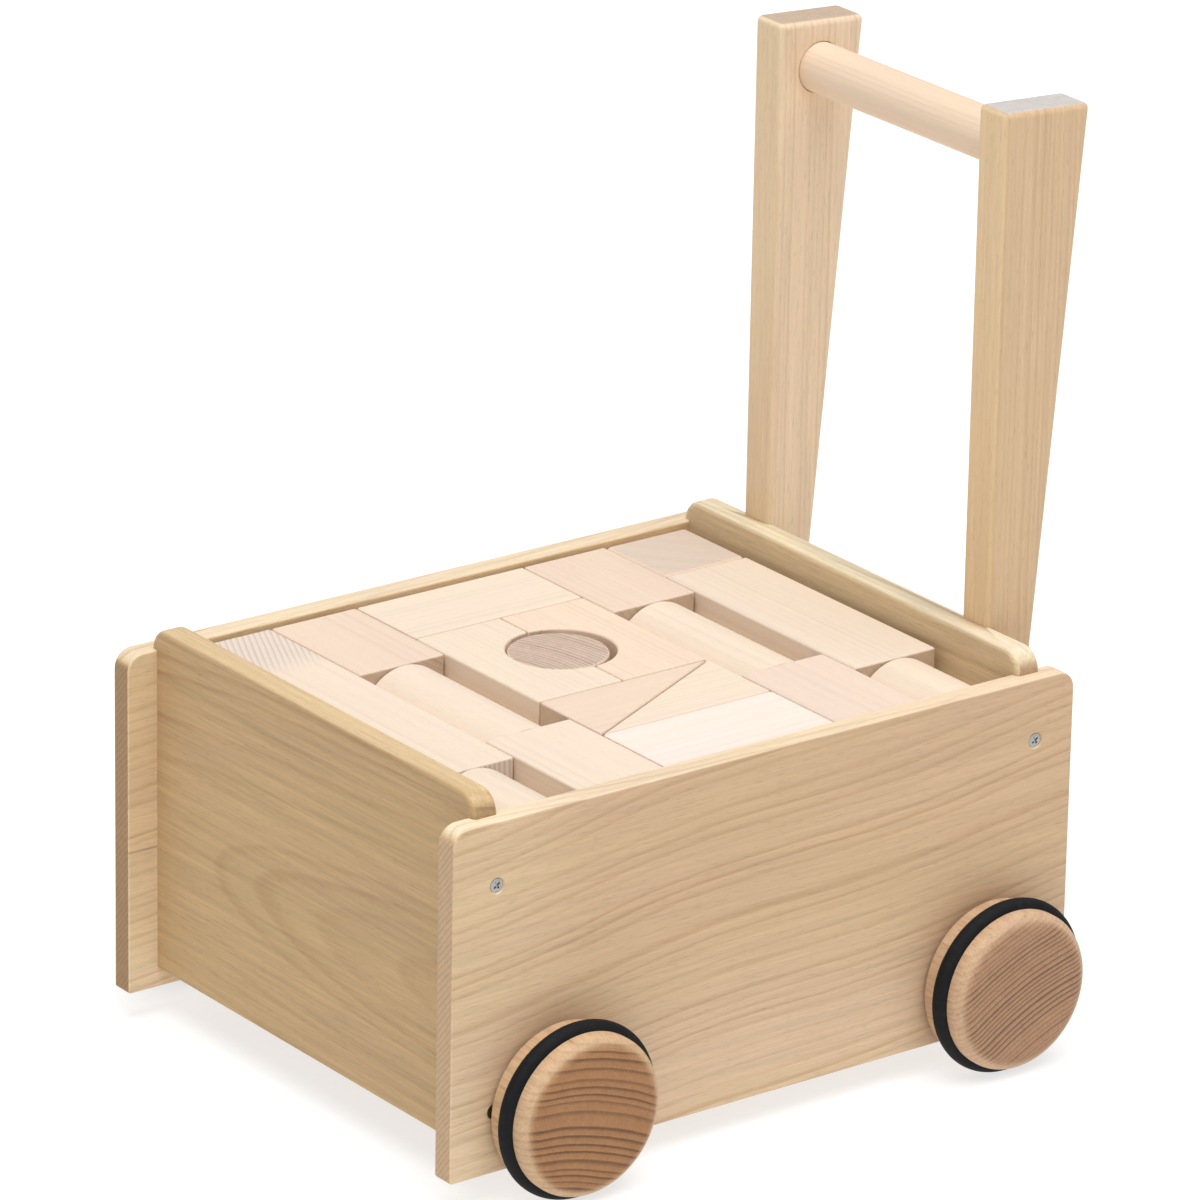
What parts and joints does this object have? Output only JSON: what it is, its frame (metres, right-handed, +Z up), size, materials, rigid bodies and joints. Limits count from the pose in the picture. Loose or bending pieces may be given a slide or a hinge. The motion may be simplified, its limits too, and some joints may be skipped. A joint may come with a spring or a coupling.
{
  "type": "baby walker",
  "caption": "Wooden push-along baby walker: an open tray on rubber-tyred wooden wheels with a raised round handle bar, filled with plain building blocks.",
  "frame": {"origin": "on the ground in the middle of the overall footprint", "axes": "+Z up, the front of the cart faces -Y and the handle is at +Y, +X is the cart's left side"},
  "size_m": [0.334, 0.392, 0.454],
  "materials": {
    "frame_wood": "bare sanded hardwood with soft wavy grain",
    "end_wood": "bare sanded hardwood, slightly darker, grain across the cart",
    "bar_wood": "bare sanded light beech",
    "block_wood": "bare sanded pale beech",
    "wheel_wood": "bare reddish-brown wood with growth rings on the face",
    "tyre_rubber": "matte black rubber",
    "zinc_steel": "zinc plated",
    "nylon": "natural nylon"
  },
  "bodies": {
    "cart": {"front_panel": "end_wood", "rear_panel": "end_wood", "floor_panel": "end_wood", "side_panel_right": "frame_wood", "side_panel_left": "frame_wood", "handle_post_right": "frame_wood", "handle_post_left": "frame_wood", "handle_bar": "bar_wood", "post_screws": "zinc_steel", "bush_front_right": "nylon", "bush_front_left": "nylon", "bush_rear_right": "nylon", "bush_rear_left": "nylon", "screw_front_right_lower": "zinc_steel", "screw_front_right_upper": "zinc_steel", "screw_front_left_lower": "zinc_steel", "screw_front_left_upper": "zinc_steel", "screw_rear_right_lower": "zinc_steel", "screw_rear_right_upper": "zinc_steel", "screw_rear_left_lower": "zinc_steel", "screw_rear_left_upper": "zinc_steel", "brick_row_1": "block_wood", "brick_row_2": "block_wood", "brick_row_3": "block_wood", "brick_row_4": "block_wood", "brick_row_5": "block_wood", "plank_row_1": "block_wood", "plank_row_2": "block_wood", "plank_row_3": "block_wood", "plank_row_4": "block_wood", "plank_row_5": "block_wood"},
    "front_axle_set": {"axle_front": "zinc_steel", "wheel_front_right": "wheel_wood", "wheel_front_left": "wheel_wood", "tyre_front_right": "tyre_rubber", "tyre_front_left": "tyre_rubber"},
    "rear_axle_set": {"axle_rear": "zinc_steel", "wheel_rear_right": "wheel_wood", "wheel_rear_left": "wheel_wood", "tyre_rear_right": "tyre_rubber", "tyre_rear_left": "tyre_rubber"},
    "loose_block_long_front": {"block_long_front": "block_wood"},
    "loose_block_short_a": {"block_short_a": "block_wood"},
    "loose_block_short_b": {"block_short_b": "block_wood"},
    "loose_block_double_far": {"block_double_far": "block_wood"},
    "loose_block_double_near": {"block_double_near": "block_wood"},
    "loose_block_short_c": {"block_short_c": "block_wood"},
    "loose_block_short_d": {"block_short_d": "block_wood"},
    "loose_block_cube": {"block_cube": "block_wood"},
    "loose_block_long_rear": {"block_long_rear": "block_wood"},
    "loose_roller_front": {"roller_front": "block_wood"},
    "loose_roller_long_front": {"roller_long_front": "block_wood"},
    "loose_roller_long_rear": {"roller_long_rear": "block_wood"},
    "loose_roller_rear": {"roller_rear": "block_wood"},
    "loose_arch_front": {"arch_front": "block_wood"},
    "loose_arch_rear": {"arch_rear": "block_wood"},
    "loose_drum": {"drum": "block_wood"},
    "loose_wedge_far": {"wedge_far": "block_wood"},
    "loose_wedge_near": {"wedge_near": "block_wood"}
  },
  "joints": [
    {"name": "front_axle_turn", "type": "hinge", "parent": "cart", "child": "front_axle_set", "pos_m": [0, -0.136, 0.0435], "axis": [1, 0, 0], "continuous": true},
    {"name": "rear_axle_turn", "type": "hinge", "parent": "cart", "child": "rear_axle_set", "pos_m": [0, 0.116, 0.0435], "axis": [1, 0, 0], "continuous": true},
    {"name": "lift_block_long_front", "type": "slide", "parent": "cart", "child": "loose_block_long_front", "axis": [0, 0, 1], "range_m": [0, 0.1]},
    {"name": "lift_block_short_a", "type": "slide", "parent": "cart", "child": "loose_block_short_a", "axis": [0, 0, 1], "range_m": [0, 0.1]},
    {"name": "lift_block_short_b", "type": "slide", "parent": "cart", "child": "loose_block_short_b", "axis": [0, 0, 1], "range_m": [0, 0.1]},
    {"name": "lift_block_double_far", "type": "slide", "parent": "cart", "child": "loose_block_double_far", "axis": [0, 0, 1], "range_m": [0, 0.1]},
    {"name": "lift_block_double_near", "type": "slide", "parent": "cart", "child": "loose_block_double_near", "axis": [0, 0, 1], "range_m": [0, 0.1]},
    {"name": "lift_block_short_c", "type": "slide", "parent": "cart", "child": "loose_block_short_c", "axis": [0, 0, 1], "range_m": [0, 0.1]},
    {"name": "lift_block_short_d", "type": "slide", "parent": "cart", "child": "loose_block_short_d", "axis": [0, 0, 1], "range_m": [0, 0.1]},
    {"name": "lift_block_cube", "type": "slide", "parent": "cart", "child": "loose_block_cube", "axis": [0, 0, 1], "range_m": [0, 0.1]},
    {"name": "lift_block_long_rear", "type": "slide", "parent": "cart", "child": "loose_block_long_rear", "axis": [0, 0, 1], "range_m": [0, 0.1]},
    {"name": "lift_roller_front", "type": "slide", "parent": "cart", "child": "loose_roller_front", "axis": [0, 0, 1], "range_m": [0, 0.1]},
    {"name": "lift_roller_long_front", "type": "slide", "parent": "cart", "child": "loose_roller_long_front", "axis": [0, 0, 1], "range_m": [0, 0.1]},
    {"name": "lift_roller_long_rear", "type": "slide", "parent": "cart", "child": "loose_roller_long_rear", "axis": [0, 0, 1], "range_m": [0, 0.1]},
    {"name": "lift_roller_rear", "type": "slide", "parent": "cart", "child": "loose_roller_rear", "axis": [0, 0, 1], "range_m": [0, 0.1]},
    {"name": "lift_arch_front", "type": "slide", "parent": "cart", "child": "loose_arch_front", "axis": [0, 0, 1], "range_m": [0, 0.1]},
    {"name": "lift_arch_rear", "type": "slide", "parent": "cart", "child": "loose_arch_rear", "axis": [0, 0, 1], "range_m": [0, 0.1]},
    {"name": "lift_drum", "type": "slide", "parent": "cart", "child": "loose_drum", "axis": [0, 0, 1], "range_m": [0, 0.1]},
    {"name": "lift_wedge_far", "type": "slide", "parent": "cart", "child": "loose_wedge_far", "axis": [0, 0, 1], "range_m": [0, 0.1]},
    {"name": "lift_wedge_near", "type": "slide", "parent": "cart", "child": "loose_wedge_near", "axis": [0, 0, 1], "range_m": [0, 0.1]}
  ]
}
